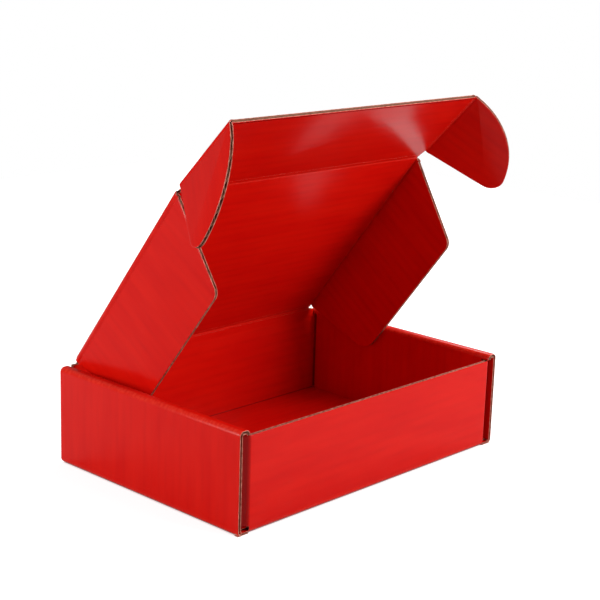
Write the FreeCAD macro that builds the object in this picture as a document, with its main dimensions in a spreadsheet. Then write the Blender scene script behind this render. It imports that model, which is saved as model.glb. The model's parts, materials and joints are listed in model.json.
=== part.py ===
"""Corrugated mailer box with a rolled tray, a hinged lid, a tuck flap and rounded ears.

Millimetres, +Z up, origin at the middle of the underside of the tray. The front wall faces -Y.
The lid stands part way open, with its tuck flap, ears and side flaps as they hang.
"""
import FreeCAD, Part
import os
import math
import Sketcher

doc = FreeCAD.newDocument("mailer_box")

# Driving dimensions
SIZES = [
    ("width", 226.0, "outside of one side wall to the other"),
    ("depth", 153.5, "outside of the front wall to the back wall"),
    ("height", 60.0, "underside of the floor to the top of the rolled walls"),
    ("board", 2.5, "thickness of the corrugated board"),
    ("bend", 0.6, "inside radius of a folded crease"),
    ("corner_bend", 2.0, "inside radius of the upright creases beside a corner flap"),
    ("ply_gap", 0.15, "air between boards that lie against each other"),
    ("end_gap", 1.5, "air between the inner ply of a rolled wall and an end wall"),
    ("seam", 0.25, "running clearance of a crease that opens and closes"),
    ("front_drop", 3.8, "how far the front wall stops below the rolled walls"),
    ("corner_flap", 62.0, "length of a corner flap inside a rolled wall"),
    ("corner_lift", 0.3, "height of a corner flap above the bottom fold"),
    ("relief", 2.6, "radius of the hole where the bottom creases meet"),
    ("tab_width", 26.0, "width of a lock tab"),
    ("tab_pitch", 84.0, "distance between the two lock tabs of a side wall"),
    ("tab_recess", 0.2, "lock tab above the underside of the floor"),
    ("tuck_play", 0.4, "tuck flap behind the front wall when closed"),
    ("floor_play", 0.5, "tuck flap above the floor when closed"),
    ("wall_play", 0.25, "ear inside the side wall when closed"),
    ("flap_play", 0.25, "side flap inside the ear when closed"),
    ("flap_lean", 15.0, "how far a side flap can lean in from square to the lid"),
    ("bevel", 1.0, "crushed inner edge beside a side flap's crease"),
    ("flap_reach", 54.5, "side flap from its crease to its free edge"),
    ("flap_start", 2.4, "side flap from the lid's hinge"),
    ("flap_end", 2.3, "side flap from the tuck crease"),
    ("flap_back_slant", 13.0, "slant of a side flap's back edge"),
    ("flap_front_slant", 23.5, "slant of a side flap's front edge"),
    ("flap_back_round", 13.0, "radius at the back of a side flap"),
    ("flap_front_round", 7.0, "radius at the front of a side flap"),
    ("neck_rise", 2.2, "straight part of the notch beside the tuck crease"),
    ("neck_slant", 3.0, "slanted part of the notch beside the tuck crease"),
    ("ear_start", 5.4, "ear from the tuck crease"),
    ("ear_round", 9.0, "radius of an ear's tip"),
    ("ear_tip_out", 42.5, "middle of that tip from the ear's crease"),
    ("ear_tip_down", 18.4, "middle of that tip from the tuck crease"),
    ("flute_pitch", 6.0, "distance between flutes"),
    ("flute_base", 5.4, "width of one flute's air space at its liner"),
    ("flute_rise", 1.6, "height of one flute's air space"),
    ("liner", 0.35, "thickness of a liner"),
    ("flute_run", 40.0, "length of the open flutes in a side flap"),
    ("core_depth", 2.4, "depth of the gap between the liners at an edge cut along the flutes"),
    ("flute_margin", 4.0, "solid board at the ends of a row of flutes"),
    ("lid_open", 52.5, "lid angle, 0 when closed"),
    ("tuck_fold", 7.0, "tuck flap angle from the plane of the lid, 90 when closed"),
    ("right_ear_fold", 53.0, "right ear angle from the plane of the tuck flap"),
    ("left_ear_fold", 63.0, "left ear angle from the plane of the tuck flap"),
    ("right_flap_fold", 88.5, "right side flap angle from the plane of the lid"),
    ("left_flap_fold", 95.0, "left side flap angle from the plane of the lid"),
]

# Sizes that follow from the driving dimensions
DERIVED = [
    ("fold", "=bend + board", "outside radius of a folded crease"),
    ("roll", "=3 * board + 2 * ply_gap", "thickness of a rolled side wall"),
    ("inner_x", "=width / 2 - roll", "inside face of a rolled side wall"),
    ("cover", "=(board - flute_rise) / 2", "board on each side of that gap"),
    ("wall_top", "=height - front_drop", "top of the front wall"),
    ("corner_x", "=width / 2 - board - ply_gap", "outer face of a corner flap"),
    ("corner_fold", "=corner_bend + board", "outside radius of those upright creases"),
    ("wall_x", "=corner_x - corner_fold", "end of the flat part of the front wall"),
    ("hinge_y", "=depth / 2 - board / 2", "lid hinge"),
    ("hinge_z", "=height + seam + board / 2", "lid hinge"),
    ("lid_length", "=depth - 2 * board - tuck_play", "lid hinge to the tuck crease"),
    ("tuck_length", "=hinge_z - board - floor_play", "tuck crease to the edge of the flap"),
    ("ear_x", "=inner_x - wall_play - board / 2", "crease of an ear"),
    ("flap_x", "=inner_x - wall_play - board - flap_play - board / 2 / cos(flap_lean)"
               " + ear_start * tan(flap_lean)", "crease of a side flap"),
    ("tuck_x", "=ear_x - board / 2 - seam", "side edge of the tuck flap"),
    ("lid_x", "=flap_x - board / 2 - seam", "side edge of the lid"),
    ("flap_tail", "=lid_length - flap_end", "front end of a side flap's crease"),
    ("ear_reach", "=ear_tip_out + ear_round", "ear from its crease to its tip"),
    ("ear_foot", "=ear_tip_down - ear_round", "lowest point of an ear's tip"),
    ("flap_flutes", "=floor((flap_tail - flap_front_slant - flap_back_slant - flap_start"
                    " - flap_front_round) / flute_pitch)", "flutes open along a side flap"),
    ("ear_flutes", "=floor((tuck_length - ear_foot - 2 * flute_margin) / flute_pitch)",
     "flutes open along an ear"),
]

sheet = doc.addObject("Spreadsheet::Sheet", "sizes")
for row, (alias, value, note) in enumerate(SIZES + DERIVED, start=1):
    sheet.set("A%d" % row, alias)
    sheet.set("B%d" % row, str(value))
    sheet.set("C%d" % row, note)
    sheet.setAlias("B%d" % row, alias)
doc.recompute()

WORDS = sorted((name for name, _value, _note in SIZES + DERIVED), key=len, reverse=True)


def bound(text):
    """The expression text with each size's name read from the sheet."""
    out, word = "", ""
    for mark in text + " ":
        if mark.isalnum() or mark == "_":
            word += mark
        else:
            out += ("sizes." + word) if word in WORDS else word
            out += mark
            word = ""
    return out.strip()


def number(text):
    """The value that an expression has now."""
    value = sheet.evalExpression(bound(text))
    return float(getattr(value, "Value", value))


def flipped(text):
    """The expression with its sign changed."""
    return "-(" + text + ")"


# Sketch helpers
ORIGIN = -1
START, END, CENTRE = 1, 2, 3


def new_sketch(body, name, plane_role, lift="0"):
    """A sketch on one of the body's origin planes, moved along its normal by lift."""
    sketch = body.newObject("Sketcher::SketchObject", name)
    plane = [f for f in body.Origin.OriginFeatures if f.Role == plane_role][0]
    sketch.AttachmentSupport = [(plane, "")]
    sketch.MapMode = "FlatFace"
    sketch.setExpression(".AttachmentOffset.Base.z", bound(lift))
    doc.recompute()
    return sketch


def pin(sketch, geometry, point, x_text, y_text):
    """Hold a point of the sketch at two expressions, measured from the origin."""
    for kind, text in (("DistanceX", x_text), ("DistanceY", y_text)):
        if text is not None:
            index = sketch.addConstraint(
                Sketcher.Constraint(kind, ORIGIN, START, geometry, point, number(text)))
            sketch.setExpression("Constraints[%d]" % index, bound(text))


def add_polygon(sketch, corners):
    """A closed outline of straight edges through corners given as pairs of expressions."""
    spots = [FreeCAD.Vector(number(x), number(y), 0) for x, y in corners]
    first = sketch.GeometryCount
    for spot, after in zip(spots, spots[1:] + spots[:1]):
        sketch.addGeometry(Part.LineSegment(spot, after))
    for place, (x_text, y_text) in enumerate(corners):
        following = first + (place + 1) % len(corners)
        sketch.addConstraint(
            Sketcher.Constraint("Coincident", first + place, END, following, START))
        pin(sketch, first + place, START, x_text, y_text)


def add_bent_section(sketch, corners):
    """A closed section whose edges run square to each other, with rounded corners.

    Each corner is (x, y, radius) in expressions, and a radius of None leaves it sharp.
    """
    count = len(corners)
    spots = [FreeCAD.Vector(number(x), number(y), 0) for x, y, _radius in corners]
    radii = [0.0 if radius is None else number(radius) for _x, _y, radius in corners]
    headings = [(spots[(i + 1) % count] - spots[i]).normalize() for i in range(count)]
    lines, arcs = [], {}
    for i in range(count):
        near = spots[i] + headings[i] * radii[i]
        far = spots[(i + 1) % count] - headings[i] * radii[(i + 1) % count]
        lines.append(sketch.addGeometry(Part.LineSegment(near, far)))
    for i in range(count):
        if not radii[i]:
            continue
        before, after = headings[i - 1], headings[i]
        centre = spots[i] - before * radii[i] + after * radii[i]
        left_turn = before.cross(after).z > 0
        spoke = after * -1 if left_turn else before
        start = math.atan2(spoke.y, spoke.x)
        circle = Part.Circle(centre, FreeCAD.Vector(0, 0, 1), radii[i])
        arc = sketch.addGeometry(Part.ArcOfCircle(circle, start, start + math.pi / 2))
        arcs[i] = (arc, left_turn)
    for i, (x_text, y_text, radius) in enumerate(corners):
        level = abs(headings[i].x) > abs(headings[i].y)
        sketch.addConstraint(Sketcher.Constraint("Horizontal" if level else "Vertical", lines[i]))
        pin(sketch, lines[i], START, None if level else x_text, y_text if level else None)
        before = lines[i - 1]
        if i in arcs:
            arc, left_turn = arcs[i]
            entry, leave = (START, END) if left_turn else (END, START)
            sketch.addConstraint(Sketcher.Constraint("Tangent", before, END, arc, entry))
            sketch.addConstraint(Sketcher.Constraint("Tangent", arc, leave, lines[i], START))
            index = sketch.addConstraint(Sketcher.Constraint("Radius", arc, radii[i]))
            sketch.setExpression("Constraints[%d]" % index, bound(radius))
        else:
            sketch.addConstraint(Sketcher.Constraint("Coincident", before, END, lines[i], START))


def add_circle(sketch, x_text, y_text, radius):
    """A circle with its centre and radius held by expressions."""
    centre = FreeCAD.Vector(number(x_text), number(y_text), 0)
    circle = Part.Circle(centre, FreeCAD.Vector(0, 0, 1), number(radius))
    index = sketch.addGeometry(circle)
    pin(sketch, index, CENTRE, x_text, y_text)
    size = sketch.addConstraint(Sketcher.Constraint("Radius", index, number(radius)))
    sketch.setExpression("Constraints[%d]" % size, bound(radius))


def add_half_round(sketch, side):
    """Half a circle as thick as the board, on the right of the origin for side 1, or the left."""
    reach = number("board / 2")
    low, high = FreeCAD.Vector(0, -reach, 0), FreeCAD.Vector(0, reach, 0)
    first, last = (low, high) if side > 0 else (high, low)
    start = -math.pi / 2 if side > 0 else math.pi / 2
    circle = Part.Circle(FreeCAD.Vector(0, 0, 0), FreeCAD.Vector(0, 0, 1), reach)
    arc = sketch.addGeometry(Part.ArcOfCircle(circle, start, start + math.pi))
    flat = sketch.addGeometry(Part.LineSegment(last, first))
    sketch.addConstraint(Sketcher.Constraint("Coincident", arc, END, flat, START))
    sketch.addConstraint(Sketcher.Constraint("Coincident", flat, END, arc, START))
    pin(sketch, flat, START, "0", signed("board / 2", side))
    pin(sketch, flat, END, "0", signed("-board / 2", side))
    pin(sketch, arc, CENTRE, "0", None)


def signed(text, side):
    """The expression on the right for side 1, or on the left for side -1."""
    return text if side > 0 else flipped(text)


def mirrored(corners):
    """The corners of the same outline on the other side of the Y axis, in reverse order."""
    return [(flipped(corner[0]),) + tuple(corner[1:]) for corner in reversed(corners)]


def turned_back(corners):
    """The corners of the same outline on the other side of the X axis, in reverse order."""
    return [(corner[0], flipped(corner[1])) + tuple(corner[2:]) for corner in reversed(corners)]


def rectangle(left, right, low, high):
    """The four corners of a rectangle."""
    return [(left, low), (right, low), (right, high), (left, high)]


# Feature helpers
def add_pad(body, sketch, length, both_ways=False):
    """Thicken a sketch and check that the body has grown."""
    before = body.Shape.Volume if body.Tip else 0.0
    pad = body.newObject("PartDesign::Pad", sketch.Name + "_pad")
    pad.Profile = sketch
    pad.SideType = "Symmetric" if both_ways else "One side"
    pad.setExpression("Length", bound(length))
    doc.recompute()
    if body.Shape.Volume <= before:
        raise ValueError(pad.Name + " adds nothing")
    return pad


def add_pocket(body, sketch, length, upward=True):
    """Cut a sketch out of the body and check that the body has shrunk."""
    before = body.Shape.Volume
    pocket = body.newObject("PartDesign::Pocket", sketch.Name + "_cut")
    pocket.Profile = sketch
    pocket.Reversed = upward
    pocket.setExpression("Length", bound(length))
    doc.recompute()
    if body.Shape.Volume >= before:
        raise ValueError(pocket.Name + " cuts nothing")
    return pocket


def edges_at(feature, wanted):
    """Names of the feature's edges whose two ends pass the test."""
    names = []
    for index, edge in enumerate(feature.Shape.Edges, start=1):
        ends = [vertex.Point for vertex in edge.Vertexes]
        if len(ends) == 2 and all(wanted(end) for end in ends):
            names.append("Edge%d" % index)
    if not names:
        raise ValueError(feature.Name + " has no such edge")
    return names


def near(value, target):
    """Whether a coordinate is at a target."""
    return abs(value - target) < 1e-3


def round_corner(body, feature, name, x_text, y_text, radius):
    """Round the upright edge of a panel that stands at x, y."""
    fillet = body.newObject("PartDesign::Fillet", name)
    x, y = number(x_text), number(y_text)
    fillet.Base = (feature, edges_at(feature, lambda p: near(p.x, x) and near(p.y, y)))
    fillet.setExpression("Radius", bound(radius))
    doc.recompute()
    return fillet


def add_bead(body, name, half_width):
    """Round edge of a panel along its crease, which turns about the X axis."""
    sketch = new_sketch(body, name, "YZ_Plane")
    add_half_round(sketch, 1)
    return add_pad(body, sketch, "2 * (" + half_width + ")", both_ways=True)


def open_flutes(body, name, edge_x, first_y, run, count, side):
    """Row of flutes left open at a cut edge: air spaces under one liner, then under the other."""
    lift = edge_x if side > 0 else flipped(edge_x)
    sketch = new_sketch(body, name, "YZ_Plane", lift)
    liner_z = "(board / 2 - liner)"
    for shift, sign in (("0", ""), ("flute_pitch / 2", "-")):
        middle = flipped(first_y + " + " + shift)
        add_polygon(sketch, [
            (middle + " - flute_base / 2", sign + liner_z),
            (middle + " + flute_base / 2", sign + liner_z),
            (middle, sign + "(board / 2 - liner - flute_rise)"),
        ])
    pocket = add_pocket(body, sketch, run, upward=side < 0)
    pattern = body.newObject("PartDesign::LinearPattern", name + "_row")
    pattern.Originals = [pocket]
    pattern.Direction = (sketch, ["H_Axis"])
    pattern.Reversed = True
    pattern.setExpression("Length", bound("flute_pitch * (" + count + " - 1)"))
    pattern.setExpression("Occurrences", bound(count))
    body.Tip = pattern
    doc.recompute()


def placed(body, parent, offset, axis, angle):
    """Set a body's Placement from its parent's, an offset and a turn about one axis."""
    turn = "create(<<rotation>>; create(<<vector>>; %s); %s)" % (axis, bound(angle))
    step = "create(<<placement>>; create(<<vector>>; %s); %s)" % (
        "; ".join(bound(part) for part in offset), turn)
    before = parent.Name + ".Placement * " if parent else ""
    body.setExpression("Placement", before + step)
    doc.recompute()


def new_body(name):
    """A body whose Label names its file."""
    body = doc.addObject("PartDesign::Body", name)
    body.Label = name
    return body


# Tray: floor, rolled side walls with lock tabs, front and back wall with corner flaps
def make_tray():
    """One folded sheet, open at the top."""
    body = new_body("tray")
    floor = new_sketch(body, "floor", "XY_Plane")
    floor_x, floor_y = "(width / 2 - fold - board)", "(depth / 2 - fold)"
    add_polygon(floor, rectangle(flipped(floor_x), floor_x, flipped(floor_y), floor_y))
    add_pad(body, floor, "board")

    rolls = new_sketch(body, "rolled_walls", "XZ_Plane")
    section = [
        ("width / 2 - fold - board", "0", None),
        ("width / 2", "0", "fold"),
        ("width / 2", "height", "fold"),
        ("inner_x", "height", "fold"),
        ("inner_x", "board + ply_gap", None),
        ("inner_x + board", "board + ply_gap", None),
        ("inner_x + board", "height - board", "bend"),
        ("width / 2 - board", "height - board", "bend"),
        ("width / 2 - board", "board", "bend"),
        ("width / 2 - fold - board", "board", None),
    ]
    add_bent_section(rolls, section)
    add_bent_section(rolls, mirrored(section))
    add_pad(body, rolls, "depth", both_ways=True)

    ends = new_sketch(body, "ply_ends", "XY_Plane", "board + ply_gap / 2")
    end_cut = rectangle("inner_x - board", "corner_x", "depth / 2 - board - end_gap",
                        "depth / 2 + board")
    for outline in (end_cut, turned_back(end_cut)):
        add_polygon(ends, outline)
        add_polygon(ends, mirrored(outline))
    add_pocket(body, ends, "wall_top + 2 * ply_gap - board - ply_gap / 2")

    walls = new_sketch(body, "end_walls", "YZ_Plane")
    add_bent_section(walls, [
        ("-(depth / 2)", "0", "fold"),
        ("depth / 2", "0", "fold"),
        ("depth / 2", "wall_top", None),
        ("depth / 2 - board", "wall_top", None),
        ("depth / 2 - board", "board", "bend"),
        ("-(depth / 2 - board)", "board", "bend"),
        ("-(depth / 2 - board)", "wall_top", None),
        ("-(depth / 2)", "wall_top", None),
    ])
    add_pad(body, walls, "2 * wall_x", both_ways=True)

    crest = new_sketch(body, "hinge_strip", "XZ_Plane", "-(depth / 2 - board)")
    crest_x = "(inner_x - 2 * ply_gap)"
    add_polygon(crest, rectangle(flipped(crest_x), crest_x, "wall_top - board", "height"))
    crest_pad = add_pad(body, crest, "board")
    crest_pad.Reversed = True
    doc.recompute()

    holes = new_sketch(body, "corner_holes", "XY_Plane")
    for x_text in ("wall_x + relief / 2", "-(wall_x + relief / 2)"):
        for y_text in ("depth / 2 - relief / 2", "-(depth / 2 - relief / 2)"):
            add_circle(holes, x_text, y_text, "relief")
    add_pocket(body, holes, "fold + corner_lift + relief")

    flaps = new_sketch(body, "corner_flaps", "XY_Plane", "fold + corner_lift")
    hook = [
        ("wall_x - board", "-(depth / 2)", None),
        ("corner_x", "-(depth / 2)", "corner_fold"),
        ("corner_x", "-(depth / 2 - corner_flap)", None),
        ("corner_x - board", "-(depth / 2 - corner_flap)", None),
        ("corner_x - board", "-(depth / 2 - board)", "corner_bend"),
        ("wall_x - board", "-(depth / 2 - board)", None),
    ]
    for outline in (hook, turned_back(hook)):
        add_bent_section(flaps, outline)
        add_bent_section(flaps, mirrored(outline))
    add_pad(body, flaps, "wall_top - fold - corner_lift")

    slots = new_sketch(body, "tab_slots", "XY_Plane")
    tabs = new_sketch(body, "lock_tabs", "XY_Plane", "tab_recess")
    for side in ("", "-"):
        middle = side + "tab_pitch / 2"
        slot = rectangle("inner_x - ply_gap", "inner_x + board + ply_gap",
                         middle + " - tab_width / 2 - ply_gap",
                         middle + " + tab_width / 2 + ply_gap")
        tab = rectangle("inner_x", "inner_x + board", middle + " - tab_width / 2",
                        middle + " + tab_width / 2")
        for outline in (slot, mirrored(slot)):
            add_polygon(slots, outline)
        for outline in (tab, mirrored(tab)):
            add_polygon(tabs, outline)
    add_pocket(body, slots, "board + ply_gap / 2")
    add_pad(body, tabs, "2 * board")
    open_roll_ends(body)
    open_front_edge(body)
    return body


def open_roll_ends(body):
    """Gap between the liners at both ends of each rolled wall, up, over the top and down."""
    gap = [
        ("width / 2 - cover", "fold", None),
        ("width / 2 - cover", "height - cover", "fold - cover"),
        ("inner_x + cover", "height - cover", "fold - cover"),
        ("inner_x + cover", "wall_top + ply_gap", None),
        ("inner_x + board - cover", "wall_top + ply_gap", None),
        ("inner_x + board - cover", "height - board + cover", "bend + cover"),
        ("width / 2 - board + cover", "height - board + cover", "bend + cover"),
        ("width / 2 - board + cover", "fold", None),
    ]
    for name, lift, outward in (("front_gaps", "depth / 2 - core_depth", True),
                                ("back_gaps", "-(depth / 2 - core_depth)", False)):
        sketch = new_sketch(body, name, "XZ_Plane", lift)
        add_bent_section(sketch, gap)
        add_bent_section(sketch, mirrored(gap))
        add_pocket(body, sketch, "2 * core_depth", upward=outward)


def open_front_edge(body):
    """Gap between the liners along the top of the front wall and its corner flaps."""
    sketch = new_sketch(body, "front_edge_gap", "XY_Plane", "wall_top - core_depth")
    outer_y, inner_y = "-(depth / 2 - cover)", "-(depth / 2 - board + cover)"
    end_y = "-(depth / 2 - corner_flap - board)"
    half = [
        ("corner_x - board + cover", inner_y, "corner_bend + cover"),
        ("corner_x - board + cover", end_y, None),
        ("corner_x - cover", end_y, None),
        ("corner_x - cover", outer_y, "corner_fold - cover"),
    ]
    add_bent_section(sketch, mirrored(half) + half)
    add_pocket(body, sketch, "core_depth + ply_gap / 2")


# Lid: a flat panel with a round edge at its hinge and crushed edges at its side creases
def make_lid(tray):
    """Panel that lies towards -Y when closed, with its hinge on its own X axis."""
    body = new_body("lid")
    panel = new_sketch(body, "lid_panel", "XY_Plane", "-board / 2")
    front = "-(lid_length - board / 2 - seam)"
    add_polygon(panel, rectangle("-lid_x", "lid_x", front, "0"))
    pad = add_pad(body, panel, "board")
    crush = body.newObject("PartDesign::Chamfer", "crushed_edges")
    side, face = number("lid_x"), number("-board / 2")
    crush.Base = (pad, edges_at(pad, lambda p: near(abs(p.x), side) and near(p.z, face)))
    crush.setExpression("Size", bound("bevel"))
    doc.recompute()
    add_bead(body, "lid_bead", "lid_x")
    placed(body, None, ("0", "hinge_y", "hinge_z"), "1; 0; 0", "-lid_open")
    return body


# Tuck flap: goes down behind the front wall, notched beside its crease
def make_tuck_flap(lid):
    """Panel that carries on from the lid's front edge."""
    body = new_body("tuck_flap")
    panel = new_sketch(body, "tuck_panel", "XY_Plane", "-board / 2")
    half = [
        ("lid_x", "0"),
        ("lid_x", "-neck_rise"),
        ("tuck_x", "-(neck_rise + neck_slant)"),
        ("tuck_x", "-tuck_length"),
    ]
    add_polygon(panel, half + mirrored(half))
    add_pad(body, panel, "board")
    add_bead(body, "tuck_bead", "lid_x")
    edge = new_sketch(body, "tuck_edge_gap", "XZ_Plane", "tuck_length - core_depth")
    edge_x = "(tuck_x - bevel)"
    add_polygon(edge, rectangle(flipped(edge_x), edge_x, "-flute_rise / 2", "flute_rise / 2"))
    add_pocket(body, edge, "2 * core_depth")
    placed(body, lid, ("0", "-lid_length", "0"), "1; 0; 0", "tuck_fold")
    return body


# Side flaps and ears: panels that fold from a side crease
def side_bead(body, name, start, end, side):
    """Round edge along the body's own Y axis, from -start to -end."""
    sketch = new_sketch(body, name, "XZ_Plane", start)
    add_half_round(sketch, -side)
    add_pad(body, sketch, "(" + end + ") - (" + start + ")")


def make_side_flap(name, lid, side, fold):
    """Lid flap that stands inside a side wall when closed."""
    body = new_body(name)
    panel = new_sketch(body, name + "_panel", "XY_Plane", "-board / 2")
    reach = signed("flap_reach", side)
    corners = [
        ("0", "-flap_start"),
        (reach, "-(flap_start + flap_back_slant)"),
        (reach, "-(flap_tail - flap_front_slant)"),
        ("0", "-flap_tail"),
    ]
    add_polygon(panel, corners)
    pad = add_pad(body, panel, "board")
    back = round_corner(body, pad, name + "_back", *corners[1], "flap_back_round")
    round_corner(body, back, name + "_front", *corners[2], "flap_front_round")
    side_bead(body, name + "_bead", "flap_start", "flap_tail", side)
    first_flute = "flap_start + flap_back_slant + flute_margin"
    open_flutes(body, name + "_flutes", "flap_reach", first_flute, "flute_run", "flap_flutes", side)
    placed(body, lid, (signed("flap_x", side), "0", "0"), "0; 1; 0", signed(fold, side))
    return body


def make_ear(name, tuck, side, fold):
    """Rounded ear of the tuck flap, about a quarter of a disc with a round tip."""
    body = new_body(name)
    panel = new_sketch(body, name + "_panel", "XY_Plane", "-board / 2")
    add_ear_outline(panel, side)
    add_pad(body, panel, "board")
    side_bead(body, name + "_bead", "ear_start", "tuck_length", side)
    open_flutes(body, name + "_flutes", "ear_reach", "ear_foot + flute_margin",
                "ear_reach - board", "ear_flutes", side)
    placed(body, tuck, (signed("ear_x", side), "0", "0"), "0; 1; 0", signed(fold, side))
    return body


def add_ear_outline(sketch, side):
    """Crease, large arc, round tip, and the lower edge that runs from the tip to the crease."""
    def spot(out, down):
        return FreeCAD.Vector(side * out, -down, 0)

    length, low = number("tuck_length"), number("ear_start")
    radius, out, down = number("ear_round"), number("ear_tip_out"), number("ear_tip_down")
    inner = length - radius
    middle = (inner ** 2 - out ** 2 - down ** 2) / (2 * (inner - down))
    large = length - middle
    join = math.atan2(down - middle, out)
    rise = math.atan2(down - low, out) - math.asin(radius / math.hypot(out, down - low))
    foot = spot(out + radius * math.sin(rise), down - radius * math.cos(rise))

    def turn(angle):
        """The sketch's angle for one measured from the outward direction towards the free edge."""
        return -angle if side > 0 else math.pi + angle

    def arc(centre, size, first, last):
        span = (turn(last), turn(first)) if side > 0 else (turn(first), turn(last))
        circle = Part.Circle(centre, FreeCAD.Vector(0, 0, 1), size)
        return sketch.addGeometry(Part.ArcOfCircle(circle, *span))

    near_end, far_end = (END, START) if side > 0 else (START, END)
    crease = sketch.addGeometry(Part.LineSegment(spot(0, low), spot(0, length)))
    edge = arc(spot(0, middle), large, join, math.pi / 2)
    tip = arc(spot(out, down), radius, rise - math.pi / 2, join)
    lower = sketch.addGeometry(Part.LineSegment(foot, spot(0, low)))
    pin(sketch, crease, START, "0", "-ear_start")
    pin(sketch, crease, END, "0", "-tuck_length")
    pin(sketch, tip, CENTRE, signed("ear_tip_out", side), "-ear_tip_down")
    size = sketch.addConstraint(Sketcher.Constraint("Radius", tip, radius))
    sketch.setExpression("Constraints[%d]" % size, bound("ear_round"))
    pin(sketch, edge, CENTRE, "0", None)
    sketch.addConstraint(Sketcher.Constraint("Coincident", crease, END, edge, far_end))
    sketch.addConstraint(Sketcher.Constraint("Tangent", edge, near_end, tip, far_end))
    sketch.addConstraint(Sketcher.Constraint("Tangent", tip, near_end, lower, START))
    sketch.addConstraint(Sketcher.Constraint("Coincident", lower, END, crease, START))


def check(parts):
    """Stop if anything failed to build."""
    for item in doc.Objects:
        if "Invalid" in item.State or "Error" in item.State:
            raise ValueError(item.Name + " is " + " ".join(item.State))
    for body in parts:
        if body.Shape.isNull() or not body.Shape.isValid() or len(body.Shape.Solids) != 1:
            raise ValueError(body.Label + " is not one valid solid")


def main():
    """Build every piece, check it and write its file."""
    tray = make_tray()
    lid = make_lid(tray)
    tuck = make_tuck_flap(lid)
    parts = [
        tray,
        lid,
        tuck,
        make_side_flap("side_flap_right", lid, 1, "right_flap_fold"),
        make_side_flap("side_flap_left", lid, -1, "left_flap_fold"),
        make_ear("ear_right", tuck, 1, "right_ear_fold"),
        make_ear("ear_left", tuck, -1, "left_ear_fold"),
    ]
    doc.recompute()
    check(parts)
    os.makedirs("parts", exist_ok=True)
    for body in parts:
        body.Shape.exportStep("parts/" + body.Label + ".step")
        print(body.Label, round(body.Shape.Volume / 1000, 2), "cm3", body.Placement)


main()
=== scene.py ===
"""Dresses the corrugated mailer box: printed liners, fluted edges, creases and a plain studio.

Sizes are given in millimetres and turned to metres where a mesh or a lamp is made. Every sheet of
board is two liners with a fluted medium between them, so its cut edges are open as the real ones.
"""
import json
import logging
import math
from dataclasses import dataclass, field
from enum import Enum, IntEnum

import bmesh
import bpy
import numpy as np
from bpy.types import ID, Material, Node, NodeSocket, NodeTree, Object
from mathutils import Matrix, Vector

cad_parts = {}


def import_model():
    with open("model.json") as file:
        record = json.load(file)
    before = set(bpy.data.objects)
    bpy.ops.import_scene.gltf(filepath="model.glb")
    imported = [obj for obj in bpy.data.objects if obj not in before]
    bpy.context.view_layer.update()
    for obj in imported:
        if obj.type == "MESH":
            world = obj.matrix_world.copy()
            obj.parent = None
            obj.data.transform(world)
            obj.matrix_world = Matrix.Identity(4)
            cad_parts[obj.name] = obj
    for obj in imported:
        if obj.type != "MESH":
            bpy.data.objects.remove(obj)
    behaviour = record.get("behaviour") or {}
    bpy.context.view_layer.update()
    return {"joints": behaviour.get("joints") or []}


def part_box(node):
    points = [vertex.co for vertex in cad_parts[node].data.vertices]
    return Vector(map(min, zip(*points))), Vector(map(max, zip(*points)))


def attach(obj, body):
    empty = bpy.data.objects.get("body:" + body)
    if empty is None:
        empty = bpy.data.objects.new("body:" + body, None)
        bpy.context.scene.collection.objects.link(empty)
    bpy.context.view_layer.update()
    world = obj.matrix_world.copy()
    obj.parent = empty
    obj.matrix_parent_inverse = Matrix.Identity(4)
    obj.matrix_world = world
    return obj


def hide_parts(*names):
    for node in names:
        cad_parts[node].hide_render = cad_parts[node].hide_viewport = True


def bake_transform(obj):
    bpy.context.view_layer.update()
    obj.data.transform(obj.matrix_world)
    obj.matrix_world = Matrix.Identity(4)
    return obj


LOG = logging.getLogger("mailer_box")
Pair = tuple[float, float]
MM = 0.001


class Face(IntEnum):
    """Which finish a face of the board has, as its material index."""

    OUTSIDE = 0
    INSIDE = 1
    CUT = 2
    MEDIUM = 3


class Flutes(Enum):
    """Which way the flutes run in a bent sheet."""

    ALONG_PATH = "along"
    ACROSS_PATH = "across"


class Side(IntEnum):
    """The left or right of the box, as the sign of x."""

    LEFT = -1
    RIGHT = 1


@dataclass(frozen=True)
class Board:
    """Single-wall corrugated board, in millimetres."""

    thickness: float = 2.5
    liner: float = 0.36
    medium: float = 0.3
    pitch: float = 6.0
    bend: float = 0.6
    ply_gap: float = 0.15
    corner_bend: float = 2.0
    crush: float = 0.24
    crush_reach: float = 0.9
    crush_middle: Pair = (0.35, 0.4)
    core_reach: float = 9.0
    mouth_inset: float = 0.1
    gap_inset: float = 0.3
    flute_steps: int = 12

    @property
    def half(self) -> float:
        """Half the thickness."""
        return self.thickness / 2

    @property
    def fold(self) -> float:
        """Outside radius of a folded crease."""
        return self.bend + self.thickness

    @property
    def middle_radius(self) -> float:
        """Radius of the middle of the board at a folded crease."""
        return self.bend + self.half

    @property
    def corner_fold(self) -> float:
        """Outside radius of the upright creases beside a corner flap."""
        return self.corner_bend + self.thickness

    @property
    def wave(self) -> float:
        """Half the height that the medium's own middle swings through."""
        return self.half - self.liner - self.medium / 2

    def crush_steps(self) -> list[Pair]:
        """Distances from a cut edge, each with how far the liner is pressed in there."""
        along, left = self.crush_middle
        return [(0.0, self.crush), (self.crush_reach * along, self.crush * left),
                (self.crush_reach, 0.0)]

    def flute(self, place: np.ndarray) -> np.ndarray:
        """How high the medium's middle lies at each place across the flutes."""
        return self.wave * np.sin(place * math.tau / self.pitch)


BOARD = Board()
PAPER_IOR = 1.45
SHARP_EDGE = math.radians(32)
TINY = 1e-6
LEVEL = 1e-9
# How far the pattern of each liner is moved, so that no two faces show the same one.
LINER_SHIFT = {Face.OUTSIDE: 40.0, Face.INSIDE: -40.0}


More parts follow.
